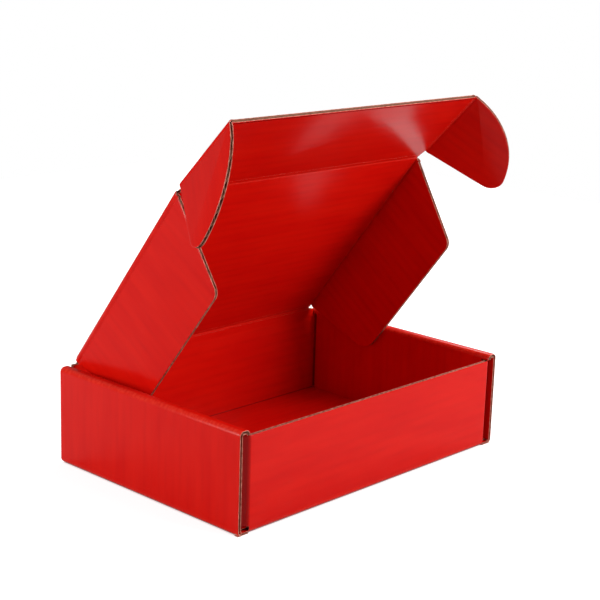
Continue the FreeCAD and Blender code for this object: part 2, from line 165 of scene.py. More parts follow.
def srgb(hex_colour: str) -> tuple[float, float, float, float]:
    """Turns an sRGB hex value to a linear colour.

    Args:
        hex_colour: six hex digits after a hash mark.

    Returns:
        Linear red, green and blue, and an alpha of 1.
    """
    parts = [int(hex_colour[i:i + 2], 16) / 255 for i in (1, 3, 5)]
    linear = [c / 12.92 if c <= 0.04045 else ((c + 0.055) / 1.055) ** 2.4 for c in parts]
    return (linear[0], linear[1], linear[2], 1.0)


def add_object(name: str, data: ID) -> Object:
    """Adds an object to the scene.

    Args:
        name: the object's name.
        data: its mesh, lamp or camera.

    Returns:
        The new object.
    """
    item = bpy.data.objects.new(name, data)
    bpy.context.scene.collection.objects.link(item)
    return item


def add_node(tree: NodeTree, kind: str, inputs: dict | None = None, **settings: object) -> Node:
    """Adds a node with its settings and links.

    Args:
        tree: the material's node tree.
        kind: the node's type.
        inputs: input name or index to a value, or to the output socket that feeds it.
        settings: the node's own properties.

    Returns:
        The new node.
    """
    node = tree.nodes.new(kind)
    for name, value in settings.items():
        setattr(node, name, value)
    for socket, value in (inputs or {}).items():
        if isinstance(value, NodeSocket):
            tree.links.new(value, node.inputs[socket])
        else:
            node.inputs[socket].default_value = value
    return node


def new_material(name: str) -> Material:
    """Makes an empty node material.

    Args:
        name: the material's name.

    Returns:
        The material.
    """
    material = bpy.data.materials.new(name)
    material.use_nodes = True
    material.node_tree.nodes.clear()
    return material


class BoardNodes:
    """The nodes of one paper, fed by the place in the flat board, in millimetres."""

    def __init__(self, name: str) -> None:
        """Starts the material of that name."""
        self.tree = new_material(name).node_tree
        self.place = self.add("ShaderNodeAttribute", attribute_name="board_mm").outputs["Vector"]

    def add(self, kind: str, inputs: dict | None = None, **settings: object) -> Node:
        """Adds a node, as add_node does."""
        return add_node(self.tree, kind, inputs, **settings)

    def scaled(self, along: float, across: float) -> NodeSocket:
        """The place in pattern sizes, so many to a millimetre along the flutes and across."""
        return self.add("ShaderNodeVectorMath", {0: self.place, 1: (along, across, 1.0)},
                        operation="MULTIPLY").outputs[0]

    def noise(self, place: NodeSocket, scale: float, detail: float) -> NodeSocket:
        """Soft noise from 0 to 1."""
        return self.add("ShaderNodeTexNoise", {
            "Vector": place, "Scale": scale, "Detail": detail}).outputs["Fac"]

    def remap(self, value: NodeSocket, span: Pair, new_span: Pair = (0.0, 1.0)) -> NodeSocket:
        """A value moved from one span to another and kept inside it."""
        return self.add("ShaderNodeMapRange", {
            "Value": value, "From Min": span[0], "From Max": span[1],
            "To Min": new_span[0], "To Max": new_span[1]}).outputs[0]

    def mix(self, share: NodeSocket, first: object, second: object) -> NodeSocket:
        """Two colours or colour sockets mixed, with so much of the second."""
        return self.add("ShaderNodeMix", {0: share, 6: first, 7: second},
                        data_type="RGBA").outputs[2]

    def maths(self, operation: str, *values: object, **settings: object) -> NodeSocket:
        """The result of one sum with values or sockets."""
        return self.add("ShaderNodeMath", dict(enumerate(values)), operation=operation,
                        **settings).outputs[0]

    def finish(self, inputs: dict) -> None:
        """Shades the paper with these inputs of its shader, by name."""
        shader = self.add("ShaderNodeBsdfPrincipled", {"IOR": PAPER_IOR, **inputs})
        self.add("ShaderNodeOutputMaterial", {"Surface": shader.outputs[0]})


@dataclass(frozen=True)
class PrintedLiner:
    """Coated paper liner, flood-printed red and varnished, glued over the flutes.

    The varnish gives a satin sheen. The flutes show through as faint broken washboard lines,
    bumped and with painted shade in their valleys, and the ink lies a little unevenly. A score is
    lighter where it is stretched; the inside of a bend and the front wall's corner folds are
    painted in shade.
    """

    name: str = "printed_liner_outside"
    ink_thin: str = "#DC1408"
    ink_heavy: str = "#D50E06"
    score: str = "#F0402E"
    # Painted shade: the dark red mixed into the flute valleys, the inside of bends and the front
    # wall's corner folds.
    painted_shade_red: str = "#8A0202"
    roughness: Pair = (0.2, 0.25)
    specular: float = 0.2
    washboard_mm: float = 0.008
    # How much painted shade darkens the flute valleys.
    washboard_painted_shade: float = 0.06
    washboard_valley: Pair = (-1.0, 0.2)
    broken_mm: float = 45.0
    broken_draw: float = 3.0
    broken_scale: float = 2.1
    broken_span: Pair = (0.4, 0.62)
    broken_strength: Pair = (0.15, 1.0)
    waver_mm: float = 1.6
    fibre_mm: float = 1.6
    fibre_height_mm: float = 0.004
    cloud_mm: float = 22.0
    cloud_draw: Pair = (0.4, 2.0)
    cloud_span: Pair = (0.35, 0.65)
    gloss_span: Pair = (0.3, 0.7)
    crack_span: Pair = (0.42, 0.6)
    crack_strength: Pair = (0.25, 0.6)
    cracks_per_mm: float = 0.55
    # How much painted shade darkens the inside of a bend at full crease.
    painted_shade_share: float = 0.9

    def material(self) -> None:
        """Builds the material."""
        nodes = BoardNodes(self.name)
        ridges = self.washboard(nodes)
        gloss = nodes.noise(nodes.place, 2 / self.cloud_mm, 2.0)
        fibre = nodes.noise(nodes.place, 1 / self.fibre_mm, 2.0)
        waves = nodes.add("ShaderNodeBump", {
            "Height": ridges, "Distance": self.washboard_mm * MM, "Strength": 1.0})
        grain = nodes.add("ShaderNodeBump", {
            "Height": fibre, "Distance": self.fibre_height_mm * MM, "Strength": 1.0,
            "Normal": waves.outputs[0]})
        nodes.finish({
            "Base Color": self.ink_colour(nodes, ridges), "Specular IOR Level": self.specular,
            "Roughness": nodes.remap(gloss, self.gloss_span, self.roughness),
            "Normal": grain.outputs[0]})

    def washboard(self, nodes: BoardNodes) -> NodeSocket:
        """Lines one flute apart that waver, and fade in and out along their length.

        Args:
            nodes: the material's nodes.

        Returns:
            The height, from -1 to 1.
        """
        slow = nodes.scaled(1 / self.broken_mm, self.broken_draw / self.broken_mm)
        across = nodes.add("ShaderNodeSeparateXYZ", {0: nodes.place}).outputs["Y"]
        drift = nodes.maths("MULTIPLY_ADD", nodes.noise(slow, 1.0, 2.0), self.waver_mm, across)
        wave = nodes.maths("SINE", nodes.maths("MULTIPLY", drift, math.tau / BOARD.pitch))
        patches = nodes.noise(slow, self.broken_scale, 1.0)
        fade = nodes.remap(patches, self.broken_span, self.broken_strength)
        return nodes.maths("MULTIPLY", wave, fade)

    def ink_colour(self, nodes: BoardNodes, ridges: NodeSocket) -> NodeSocket:
        """Red ink with soft clouds, worked scores, and painted shade in the flute valleys and
        inside bends.

        Args:
            nodes: the material's nodes.
            ridges: the washboard's height.

        Returns:
            The colour.
        """
        inside = srgb(self.painted_shade_red)
        drawn = nodes.scaled(*(draw / self.cloud_mm for draw in self.cloud_draw))
        density = nodes.remap(nodes.noise(drawn, 1.0, 3.0), self.cloud_span)
        ink = nodes.mix(density, srgb(self.ink_heavy), srgb(self.ink_thin))
        # Painted shade in the washboard's valleys.
        valley_shade = nodes.remap(ridges, self.washboard_valley, (self.washboard_painted_shade, 0.0))
        valley_shaded_ink = nodes.mix(valley_shade, ink, inside)
        crease = nodes.add("ShaderNodeAttribute", attribute_name="crease").outputs["Fac"]
        cracks = nodes.noise(nodes.place, self.cracks_per_mm, 1.0)
        broken = nodes.remap(cracks, self.crack_span, self.crack_strength)
        worn = nodes.maths("MULTIPLY", crease, broken, use_clamp=True)
        stretched = nodes.mix(worn, valley_shaded_ink, srgb(self.score))
        # Painted shade where the crease value is below 0.
        painted_fold_mask = nodes.maths("MULTIPLY", crease, -self.painted_shade_share, use_clamp=True)
        return nodes.mix(painted_fold_mask, stretched, inside)


@dataclass(frozen=True)
class RawPaper:
    """Uncoated matt paper at a cut edge, darker in patches."""

    name: str
    dark: str
    light: str
    patches_per_mm: float
    detail: float
    patch_span: Pair
    roughness: float

    def material(self) -> None:
        """Builds the material."""
        nodes = BoardNodes(self.name)
        patch = nodes.noise(nodes.place, self.patches_per_mm, self.detail)
        colour = nodes.mix(nodes.remap(patch, self.patch_span), srgb(self.dark), srgb(self.light))
        nodes.finish({"Base Color": colour, "Roughness": self.roughness})


# Raw cut edge and back of a liner: pale pinkish fibre, stained by the ink beside it.
CUT_LINER = RawPaper("cut_paper_liner", "#A34C3A", "#E09884", 1 / 3, 3.0, (0.35, 0.65), 0.85)
# Unbleached brown fluting paper, seen end-on between the liners, with dark glue lines.
FLUTED_MEDIUM = RawPaper("fluting_paper", "#7A4535", "#B98868", 0.6, 4.0, (0.0, 1.0), 0.9)
# The inside liner has stronger washboard bumps and stronger painted shade in its flute valleys.
INNER_LINER = PrintedLiner(name="printed_liner_inside", washboard_mm=0.013, washboard_painted_shade=0.1)
# What each Face is made of, in its order.
FINISHES = (PrintedLiner(), INNER_LINER, CUT_LINER, FLUTED_MEDIUM)


class SheetMesh:
    """Gathers the liners and medium of one piece of board, in millimetres."""

    def __init__(self) -> None:
        """Starts with nothing in it."""
        self.points: list[np.ndarray] = []
        self.board: list[np.ndarray] = []
        self.crease: list[np.ndarray] = []
        self.faces: list[tuple[int, ...]] = []
        self.finishes: list[int] = []
        self.count = 0

    def add_points(self, points: np.ndarray, board: np.ndarray, crease: np.ndarray) -> int:
        """Adds vertices.

        Args:
            points: an array of places, three numbers each.
            board: the same vertices in the flat board, two numbers each.
            crease: how near each vertex is to a score, 0 to 1, and below 0 where painted shade
                darkens the inside of a bend or a corner fold.

        Returns:
            The number of the first of them.
        """
        first = self.count
        self.points.append(points.reshape(-1, 3))
        self.board.append(board.reshape(-1, 2))
        self.crease.append(crease.reshape(-1))
        self.count += len(self.points[-1])
        return first

    def add_face(self, corners: tuple[int, ...], finish: Face) -> None:
        """Adds a face with its finish."""
        self.faces.append(tuple(int(c) for c in corners))
        self.finishes.append(int(finish))

    def add_slab(self, top: np.ndarray, bottom: np.ndarray, board: np.ndarray,
                 crease: np.ndarray, finish: Face) -> None:
        """Adds a thin closed layer between two grids of places.

        Args:
            top: rows by columns by three.
            bottom: the same for the other side.
            board: rows by columns by two, in the flat board.
            crease: rows by columns.
            finish: of the top. The bottom and the rim are raw paper.
        """
        raw = Face.MEDIUM if finish is Face.MEDIUM else Face.CUT
        rows, columns = top.shape[:2]
        grid = np.arange(rows * columns).reshape(rows, columns)
        upper = self.add_points(top, board, crease) + grid
        lower = self.add_points(bottom, board, crease * 0) + grid
        for row in range(rows - 1):
            for column in range(columns - 1):
                ring = [(row, column), (row, column + 1), (row + 1, column + 1), (row + 1, column)]
                self.add_face(tuple(upper[spot] for spot in ring), finish)
                self.add_face(tuple(lower[spot] for spot in reversed(ring)), raw)
        edge = [(0, c) for c in range(columns)] + [(r, columns - 1) for r in range(1, rows)]
        edge += [(rows - 1, c) for c in range(columns - 2, -1, -1)]
        edge += [(r, 0) for r in range(rows - 2, 0, -1)]
        for here, after in zip(edge, edge[1:] + edge[:1]):
            self.add_face((upper[after], upper[here], lower[here], lower[after]), raw)

    def add_layer(self, outline: np.ndarray, side: int, place: Matrix) -> None:
        """Adds one liner of a flat panel, pressed in along its cut edge.

        Args:
            outline: the panel's outline, anticlockwise.
            side: 1 for the outer liner and -1 for the inner one.
            place: the panel's place, in millimetres.
        """
        printed = Face.OUTSIDE if side > 0 else Face.INSIDE
        steps = BOARD.crush_steps()
        levels = [(distance, BOARD.half - BOARD.liner - dip) for distance, dip in reversed(steps)]
        levels += [(distance, BOARD.half - dip) for distance, dip in steps]
        turn, shift = np.array(place.to_3x3()).T, np.array(place.translation)
        size = len(outline)
        firsts = []
        for distance, height in levels:
            loop = inset_outline(outline, distance)
            world = np.c_[loop, np.full(size, side * height)] @ turn + shift
            firsts.append(self.add_points(world, loop + LINER_SHIFT[printed], np.zeros(size)))
        for level, (low, high) in enumerate(zip(firsts, firsts[1:])):
            finish = printed if level >= len(steps) else Face.CUT
            for i in range(size):
                j = (i + 1) % size
                self.add_face((low + i, low + j, high + j, high + i), finish)
        self.add_face(tuple(range(firsts[0] + size - 1, firsts[0] - 1, -1)), Face.CUT)
        self.add_face(tuple(range(firsts[-1], firsts[-1] + size)), printed)

    def build(self, name: str) -> Object:
        """Makes the object, in metres.

        Args:
            name: the piece's name.

        Returns:
            The new object.
        """
        mesh = bpy.data.meshes.new(name)
        points = np.concatenate(self.points) * MM
        mesh.from_pydata([tuple(p) for p in points], [], self.faces)
        for finish in FINISHES:
            mesh.materials.append(bpy.data.materials[finish.name])
        mesh.polygons.foreach_set("material_index", self.finishes)
        board = mesh.attributes.new("board_mm", "FLOAT_VECTOR", "POINT")
        flat = np.concatenate(self.board)
        board.data.foreach_set("vector", np.c_[flat, np.zeros(len(flat))].ravel())
        crease = mesh.attributes.new("crease", "FLOAT", "POINT")
        crease.data.foreach_set("value", np.concatenate(self.crease))
        work = bmesh.new()
        work.from_mesh(mesh)
        bmesh.ops.recalc_face_normals(work, faces=work.faces)
        work.to_mesh(mesh)
        work.free()
        mesh.shade_smooth()
        mesh.set_sharp_from_angle(angle=SHARP_EDGE)
        LOG.info("%s: %d faces", name, len(mesh.polygons))
        return add_object(name, mesh)


def rotation(angle: float) -> np.ndarray:
    """The turn by an angle in a plane."""
    c, s = math.cos(angle), math.sin(angle)
    return np.array([[c, -s], [s, c]])


@dataclass
class Path:
    """The middle of a bent board, seen end-on, as places, outward normals and run lengths."""

    places: np.ndarray
    normals: np.ndarray
    run: np.ndarray
    crease: np.ndarray


def bent_path(corners: list[Pair], radius: float = BOARD.middle_radius, arc_steps: int = 8,
              lead: float = 1.2) -> Path:
    """Rounds the corners of a line of straight runs.

    Args:
        corners: the ends and the sharp corners of the line.
        radius: of the middle of the board at each corner.
        arc_steps: how many pieces each corner is bent in.
        lead: how far beyond a corner's arc the next point lies, where there is room.

    Returns:
        The path, whose normals point to the left of its direction.
    """
    spots = [np.array(c, float) for c in corners]
    headings = [(b - a) / np.linalg.norm(b - a) for a, b in zip(spots, spots[1:])]
    # Each point with the path's direction there, and 1 or -1 in the middle of a crease. A sheet
    # multiplies it by its side, so the inside of a bend gets -1, painted shade, and the outside 1,
    # the score's lighter colour.
    points = [(spots[0], headings[0], 0.0)]
    for corner, nxt, before, after in zip(spots[1:], spots[2:], headings, headings[1:]):
        turn = math.atan2(before[0] * after[1] - before[1] * after[0], before @ after)
        reach = radius * abs(math.tan(turn / 2))
        start = corner - before * reach
        if (start - points[-1][0]) @ before > 2 * lead:
            points.append((start - before * lead, before, 0.0))
        left = math.copysign(1.0, turn)
        centre = start + left * radius * np.array([-before[1], before[0]])
        for step in range(arc_steps + 1):
            spin = rotation(turn * step / arc_steps)
            spot = centre + spin @ (start - centre)
            if np.linalg.norm(spot - points[-1][0]) > TINY:
                score = -left * math.sin(math.pi * step / arc_steps)
                points.append((spot, spin @ before, score))
        if (nxt - corner) @ after > reach + 2 * lead:
            points.append((corner + after * (reach + lead), after, 0.0))
    if np.linalg.norm(spots[-1] - points[-1][0]) > TINY:
        points.append((spots[-1], headings[-1], 0.0))
    places, ways, crease = (np.array(part) for part in zip(*points))
    lengths = np.r_[0, np.cumsum(np.linalg.norm(np.diff(places, axis=0), axis=1))]
    return Path(places, np.c_[-ways[:, 1], ways[:, 0]], lengths, crease)


def edge_stations(low: float, high: float, cut_low: bool = True,
                  cut_high: bool = True) -> tuple[np.ndarray, np.ndarray]:
    """Places across a sheet, close together at its edges.

    Args:
        low: the lower edge.
        high: the upper edge.
        cut_low: whether the lower edge is cut, so that its liners are pressed in.
        cut_high: the same for the upper edge.

    Returns:
        The places, and how far the liners are pressed in at each.
    """
    steps = BOARD.crush_steps()
    near = [(low + d, dip * cut_low) for d, dip in steps]
    far = [(high - d, dip * cut_high) for d, dip in reversed(steps)]
    across, dips = zip(*(near + far))
    return np.array(across), np.array(dips)


@dataclass
class BentSheet:
    """One bent sheet of board: a path seen end-on, carried across from low to high.

    The axes are the two of the path and the one across. The inside is the side of the path with
    the inner liner, 1 along its normals or -1.
    """

    path: Path
    low: float
    high: float
    axes: tuple[int, int, int]
    flutes: Flutes
    cut_low: bool = False
    cut_high: bool = False
    board_at: Pair = (0.0, 0.0)
    inside: int = 1

    def grid(self, across: np.ndarray, heights: np.ndarray) -> np.ndarray:
        """Places above the middle of the board.

        Args:
            across: places across the sheet.
            heights: for the path's points by the places across, or one row for every point.

        Returns:
            The path's points by the places across by three.
        """
        out = np.zeros((len(self.path.run), len(across), 3))
        for axis in (0, 1):
            out[:, :, self.axes[axis]] = (self.path.places[:, axis, None]
                                          + self.path.normals[:, axis, None] * heights)
        out[:, :, self.axes[2]] = across[None, :]
        return out

    def flat(self, across: np.ndarray) -> np.ndarray:
        """The same places in the flat board, with flutes running along the first number.

        Args:
            across: places across the sheet.

        Returns:
            The path's points by the places across by two.
        """
        run = self.path.run[:, None] + self.board_at[0] + 0 * across[None, :]
        side = 0 * self.path.run[:, None] + across[None, :] + self.board_at[1]
        pair = (run, side) if self.flutes is Flutes.ALONG_PATH else (side, run)
        return np.stack(pair, axis=2)

    def add_to(self, mesh: SheetMesh) -> None:
        """Adds both liners, and the medium near the cut edges.

        Args:
            mesh: the mesh that takes them.
        """
        across, press = edge_stations(self.low, self.high, self.cut_low, self.cut_high)
        crease = self.path.crease[:, None] + 0 * across[None, :]
        for side in (1, -1):
            top = self.grid(across, side * (BOARD.half - press))
            bottom = self.grid(across, side * (BOARD.half - BOARD.liner - press))
            printed = Face.INSIDE if side == self.inside else Face.OUTSIDE
            mesh.add_slab(top, bottom, self.flat(across) + LINER_SHIFT[printed], crease * side,
                          printed)
        if self.cut_low:
            self.add_medium(mesh, self.low, self.low + BOARD.core_reach)
        if self.cut_high:
            self.add_medium(mesh, self.high, self.high - BOARD.core_reach)

    def add_medium(self, mesh: SheetMesh, start: float, end: float) -> None:
        """Adds the fluted medium from just inside one cut edge.

        Args:
            mesh: the mesh that takes it.
            start: the cut edge.
            end: where the medium ends, out of sight.
        """
        inward = math.copysign(1, end - start)
        if self.flutes is Flutes.ALONG_PATH:
            steps = int(abs(end - start) / BOARD.pitch * BOARD.flute_steps)
            across = np.linspace(start + inward * BOARD.gap_inset, end, steps + 1)
            heights = BOARD.flute(across)[None, :] + 0 * self.path.run[:, None]
        else:
            across = np.array([start + inward * BOARD.mouth_inset, end])
            heights = BOARD.flute(self.path.run)[:, None] + 0 * across[None, :]
        mesh.add_slab(self.grid(across, heights + BOARD.medium / 2),
                      self.grid(across, heights - BOARD.medium / 2),
                      self.flat(across), heights * 0, Face.MEDIUM)


def rounded_outline(corners: list[tuple[float, float, float]], arc_steps: int = 14) -> np.ndarray:
    """Rounds the corners of a closed outline.

    Args:
        corners: x, y and radius of each corner, in order round the outline.
        arc_steps: how many pieces each rounded corner is drawn in.

    Returns:
        The outline's points.
    """
    spots = [np.array(c[:2], float) for c in corners]
    out: list[np.ndarray] = []
    for i, (_x, _y, radius) in enumerate(corners):
        before = spots[i] - spots[i - 1]
        after = spots[(i + 1) % len(spots)] - spots[i]
        before, after = before / np.linalg.norm(before), after / np.linalg.norm(after)
        turn = math.atan2(before[0] * after[1] - before[1] * after[0], before @ after)
        if not radius:
            out.append(spots[i])
            continue
        start = spots[i] - before * radius * abs(math.tan(turn / 2))
        centre = start + math.copysign(radius, turn) * np.array([-before[1], before[0]])
        for step in range(arc_steps + 1):
            out.append(centre + rotation(turn * step / arc_steps) @ (start - centre))
    return np.array(out)


def arc_points(centre: Pair, radius: float, start: float, end: float,
               steps: int) -> list[np.ndarray]:
    """Points along an arc, with angles in radians and both ends counted."""
    angles = np.linspace(start, end, steps + 1)
    return [np.array(centre) + radius * np.array([math.cos(a), math.sin(a)]) for a in angles]


def inset_outline(outline: np.ndarray, distance: float) -> np.ndarray:
    """Moves a closed outline inwards by one distance.

    Args:
        outline: the points, anticlockwise.
        distance: how far each edge moves in.

    Returns:
        As many points as before.
    """
    before = outline - np.roll(outline, 1, axis=0)
    after = np.roll(outline, -1, axis=0) - outline
    before = before / np.linalg.norm(before, axis=1)[:, None]
    after = after / np.linalg.norm(after, axis=1)[:, None]
    left_before = np.c_[-before[:, 1], before[:, 0]]
    left_after = np.c_[-after[:, 1], after[:, 0]]
    share = 1 + np.sum(left_before * left_after, axis=1)
    return outline + (left_before + left_after) / share[:, None] * distance


@dataclass
class Panel:
    """A flat moving panel of board, with the body it is, its own outline and its place."""

    body: str
    outline: np.ndarray
    place: Matrix

    def build(self) -> None:
        """Makes the panel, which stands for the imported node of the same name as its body."""
        outline = self.outline
        nxt = np.roll(outline, -1, axis=0)
        if np.sum(outline[:, 0] * nxt[:, 1] - outline[:, 1] * nxt[:, 0]) < 0:
            outline = outline[::-1]
        mesh = SheetMesh()
        for side in (1, -1):
            mesh.add_layer(outline, side, self.place)
        self.add_medium(mesh, outline)
        piece = mesh.build(self.body + "_board")
        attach(piece, self.body)
        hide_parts(self.body)

    def add_medium(self, mesh: SheetMesh, outline: np.ndarray) -> None:
        """Adds the fluted medium, which runs along the panel's own x.

        Args:
            mesh: the mesh that takes it.
            outline: the panel's outline.
        """
        low, high = outline[:, 1].min() + BOARD.gap_inset, outline[:, 1].max() - BOARD.gap_inset
        steps = int((high - low) / BOARD.pitch * BOARD.flute_steps)
        rows = np.linspace(low, high, steps + 1)
        ends = np.array([self.span(outline, y) for y in rows])
        local = np.zeros((len(rows), 2, 3))
        local[:, :, 0] = ends + np.array([BOARD.mouth_inset, -BOARD.mouth_inset])
        local[:, :, 1] = rows[:, None]
        local[:, :, 2] = BOARD.flute(rows)[:, None]
        turn, shift = np.array(self.place.to_3x3()), np.array(self.place.translation)
        up = turn[:, 2] * BOARD.medium / 2
        world = local @ turn.T + shift
        mesh.add_slab(world + up, world - up, local[:, :, :2], local[:, :, 2] * 0, Face.MEDIUM)

    @staticmethod
    def span(outline: np.ndarray, y: float) -> Pair:
        """Where an outline crosses one y.

        Args:
            outline: its points.
            y: the height of the crossing line.

        Returns:
            The lowest and the highest x there.
        """
        nxt = np.roll(outline, -1, axis=0)
        crossed = (outline[:, 1] - y) * (nxt[:, 1] - y) <= 0
        a, b = outline[crossed], nxt[crossed]
        rise = np.where(np.abs(b[:, 1] - a[:, 1]) < LEVEL, 1.0, b[:, 1] - a[:, 1])
        x = a[:, 0] + (b[:, 0] - a[:, 0]) * (y - a[:, 1]) / rise
        return float(x.min()), float(x.max())


@dataclass
class Crease:
    """The liners that bend across a moving score, one on each side of the board.

    The strips reach as far back over the parent panel as they do over the child.
    """

    name: str
    parent: str
    child: str
    origin: np.ndarray
    axis: np.ndarray
    parent_run: np.ndarray
    fold: float
    start: float
    end: float
    reach: float = 3.0
    points: int = 17
    overlap: float = 0.03
    outer_dip: float = 0.22
    inner_dip: float = 0.75
    dip_width: float = 0.7
    outer_mark: float = 0.7
    inner_mark: float = 1.0
    mark_width: float = 0.8

    def build(self) -> None:
        """Makes both strips at rest."""
        across = np.linspace(-self.reach, self.reach, self.points)
        share = (across + self.reach) / (2 * self.reach)
        turn = self.fold * share ** 2 * (3 - 2 * share)
        outward = np.cross(self.axis, self.parent_run)
        stations, dips = edge_stations(self.start, self.end)
        mesh = SheetMesh()
        for side, dip, mark, printed in (
                (1, self.outer_dip, self.outer_mark, Face.OUTSIDE),
                (-1, self.inner_dip, self.inner_mark, Face.INSIDE)):
            groove = dip * np.exp(-(across / self.dip_width) ** 2)
            layers = []
            for height in (BOARD.half + self.overlap - groove, BOARD.half - BOARD.liner - groove):
                rows = []
                for station, press in zip(stations, dips):
                    level = side * (height - press)
                    flat = across[:, None] * self.parent_run + level[:, None] * outward
                    rows.append(self.origin + station * self.axis + self.turned(flat, turn))
                layers.append(np.array(rows))
            board = np.stack(np.meshgrid(across, stations), axis=2) + LINER_SHIFT[printed]
            score = mark * np.exp(-(across / self.mark_width) ** 2)[None, :] + 0 * dips[:, None]
            mesh.add_slab(layers[0], layers[1], board, score, printed)
        piece = mesh.build(self.name)
        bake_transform(piece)

    def turned(self, points: np.ndarray, angles: np.ndarray) -> np.ndarray:
        """Turns points about the hinge line.

        Args:
            points: three numbers each.
            angles: each point's own angle.

        Returns:
            The turned points.
        """
        c, s = np.cos(angles)[:, None], np.sin(angles)[:, None]
        along = (points @ self.axis)[:, None] * self.axis
        return points * c + np.cross(self.axis, points) * s + along * (1 - c)


@dataclass
class Tray:
    """The folded tray: floor, front and back walls with corner flaps, and rolled side walls."""

    width: float
    depth: float
    height: float
    front_drop: float = 3.8
    corner_flap: float = 62.0
    corner_lift: float = 0.3
    front_hole: float = 1.0
    front_fold_x: float = 104.5
    front_fold_y: float = 73.0
    front_gap: float = 2.9
    back_gap: float = 2.8
    toe_gap: float = 0.2
    toe_in: float = 0.5
    pressed: float = 1.5
    tab_width: float = 26.0
    tab_pitch: float = 84.0
    tab_recess: float = 0.2
    mesh: SheetMesh = field(default_factory=SheetMesh)

    @property
    def inner_x(self) -> float:
        """Inside face of a rolled side wall."""
        return self.width / 2 - 3 * BOARD.thickness - 2 * BOARD.ply_gap

    @property
    def corner_x(self) -> float:
        """Outer face of a corner flap."""
        return self.width / 2 - BOARD.thickness - BOARD.ply_gap

    @property
    def wall_top(self) -> float:
        """Top of the front wall."""
        return self.height - self.front_drop

    def build(self) -> None:
        """Makes the whole tray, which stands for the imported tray."""
        self.add_floor()
        for side in Side:
            self.add_rolled_wall(side)
        for end in (-1, 1):
            self.add_end_wall(end)
        self.add_hinge_strip()
        piece = self.mesh.build("tray_board")
        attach(piece, "tray")
        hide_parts("tray")

    def add_floor(self) -> None:
        """Adds the floor, with its slots for the lock tabs."""
        edge_x = self.width / 2 - BOARD.fold
        edge_y = self.depth / 2 - BOARD.fold
        slot_x = (self.inner_x - BOARD.ply_gap, self.inner_x + BOARD.thickness + BOARD.ply_gap)
        half_slot = self.tab_width / 2 + BOARD.ply_gap
        xs = sorted([s * x for s in (-1, 1) for x in (edge_x, *slot_x)])
        ys = [-edge_y, edge_y]
        for middle in (-self.tab_pitch / 2, self.tab_pitch / 2):
            ys += [middle - half_slot, middle + half_slot]
        ys.sort()
        for left, right in zip(xs, xs[1:]):
            for low, high in zip(ys, ys[1:]):
                centre = (abs(left + right) / 2, abs(low + high) / 2)
                slot = slot_x[0] < centre[0] < slot_x[1]
                if slot and abs(centre[1] - self.tab_pitch / 2) < half_slot:
                    continue
                self.add_tile(left, right, low, high)
        for side in Side:
            near, far = sorted((side * self.front_fold_x, side * (self.width / 2 - self.toe_in)))
            self.add_tile(near, far, -self.depth / 2 + self.toe_in, -edge_y, self.pressed)

    def add_tile(self, left: float, right: float, low: float, high: float,
                 height: float = BOARD.thickness) -> None:
        """Adds one rectangle of the floor, a liner above and one below.

        Args:
            left: its lowest x.
            right: its highest x.
            low: its lowest y.
            high: its highest y.
            height: where its top lies.
        """
        x, y = np.meshgrid([left, right], [low, high])
        for top, bottom, printed in ((height, height - BOARD.liner, Face.INSIDE),
                                     (0.0, BOARD.liner, Face.OUTSIDE)):
            upper = np.stack([x, y, np.full(x.shape, top)], axis=2)
            lower = np.stack([x, y, np.full(x.shape, bottom)], axis=2)
            self.mesh.add_slab(upper, lower, upper[:, :, :2] + LINER_SHIFT[printed], x * 0,
                               printed)

    def add_rolled_wall(self, side: Side) -> None:
        """Adds one side wall: up outside, over the top, down inside, and its lock tabs.

        Args:
            side: left or right.
        """
        mid = BOARD.half
        half_y = self.depth / 2
        end_y = half_y - BOARD.thickness
        outer, inner = side * (self.width / 2 - mid), side * (self.inner_x + mid)
        step_z = self.wall_top + 2 * BOARD.ply_gap
        foot_z = BOARD.thickness + BOARD.ply_gap
        over = [(side * (self.width / 2 - BOARD.fold), mid), (outer, mid),
                (outer, self.height - mid), (inner, self.height - mid), (inner, step_z)]
        sheets = [(over, -half_y, half_y, 120.0),
                  ([(inner, step_z), (inner, foot_z)], self.front_gap - end_y,
                   end_y - self.back_gap, 190.0)]
        for middle in (-self.tab_pitch / 2, self.tab_pitch / 2):
            sheets.append(([(inner, foot_z), (inner, self.tab_recess)],
                           middle - self.tab_width / 2, middle + self.tab_width / 2, 250.0))
        for corners, low, high, run in sheets:
            BentSheet(bent_path(corners), low, high, (0, 2, 1), Flutes.ALONG_PATH, cut_low=True,
                      cut_high=True, board_at=(run, 0.0), inside=int(side)).add_to(self.mesh)

    def add_end_wall(self, end: int) -> None:
        """Adds the front or the back wall, with its corner flaps.

        Args:
            end: -1 for the front wall and 1 for the back wall.
        """
        mid = BOARD.half
        wall_y = end * (self.depth / 2 - mid)
        low = BOARD.fold + self.corner_lift + (self.front_hole if end < 0 else 0.0)
        wall_x = self.front_fold_x if end < 0 else self.corner_x - BOARD.corner_fold
        foot = bent_path([(end * (self.depth / 2 - BOARD.fold), mid), (wall_y, mid),
                          (wall_y, low)])
        BentSheet(foot, -wall_x, wall_x, (1, 2, 0), Flutes.ACROSS_PATH,
                  board_at=(0.0, 80.0), inside=end).add_to(self.mesh)
        if end < 0:
            wall = self.front_path()
        else:
            wall = self.back_path(wall_y)
            self.add_toes(wall_x, wall_y, low)
        BentSheet(wall, low, self.wall_top, (0, 1, 2), Flutes.ALONG_PATH, cut_high=True,
                  board_at=(0.0, 80.0), inside=end).add_to(self.mesh)

    def back_path(self, wall_y: float) -> Path:
        """The back wall and its corner flaps, bent in one round corner at each side.

        Args:
            wall_y: the middle of the back wall's board.

        Returns:
            The path, seen from above.
        """
        flap_x = self.corner_x - BOARD.half
        half = [(flap_x, self.depth / 2 - self.corner_flap), (flap_x, wall_y)]
        return bent_path(half + [(-x, y) for x, y in reversed(half)],
                         BOARD.corner_bend + BOARD.half)

